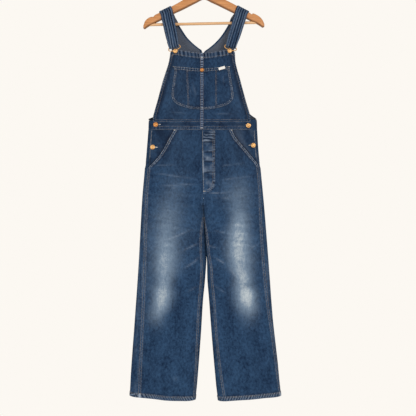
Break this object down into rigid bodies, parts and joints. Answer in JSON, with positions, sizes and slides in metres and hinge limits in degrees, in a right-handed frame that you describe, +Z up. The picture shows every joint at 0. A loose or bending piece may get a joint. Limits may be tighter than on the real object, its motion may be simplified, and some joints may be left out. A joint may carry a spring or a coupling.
{
  "type": "denim dungarees on a wooden hanger",
  "caption": "Full-length bib dungarees in worn denim with buckled shoulder straps, slanted hip pockets and a buttoned side opening, hanging flat on a wooden hanger.",
  "frame": {"origin": "inside top of the hanger's hook, where a rail holds it", "axes": "+Z up, the front of the garment faces -Y, +X to the right seen from the front"},
  "size_m": [0.5425, 0.0718, 1.5444],
  "materials": {
    "denim": "worn indigo twill, faded at thighs and knees",
    "denim_dark": "less faded indigo twill",
    "denim_worn": "indigo twill worn pale on raised seams",
    "brass": "satin brass",
    "copper": "aged copper",
    "label": "plain woven tape",
    "wood": "clear varnished beech",
    "wood_bar": "pale turned beech",
    "steel": "bright plated wire"
  },
  "bodies": {
    "root": {"leg_front_left": "denim", "leg_front_right": "denim", "leg_back_left": "denim", "leg_back_right": "denim", "pocket_facing_left": "denim_dark", "pocket_facing_right": "denim_dark", "bib_left": "denim", "bib_right": "denim", "back_high_left": "denim", "back_high_right": "denim", "strap_left": "denim", "strap_right": "denim", "buckle_left": "brass", "buckle_right": "brass", "waistband_front": "denim", "bib_pocket": "denim", "bib_centre_strip": "denim_worn", "fly_placket": "denim_dark", "label_blank": "label", "button_bib_left": "brass", "button_bib_right": "brass", "button_side_left_upper": "brass", "button_side_left_lower": "brass", "button_side_right_upper": "brass", "button_side_right_lower": "brass", "button_pocket": "copper", "hanger_wood": "wood", "hanger_bar": "wood_bar", "hanger_hook": "steel"}
  },
  "joints": []
}
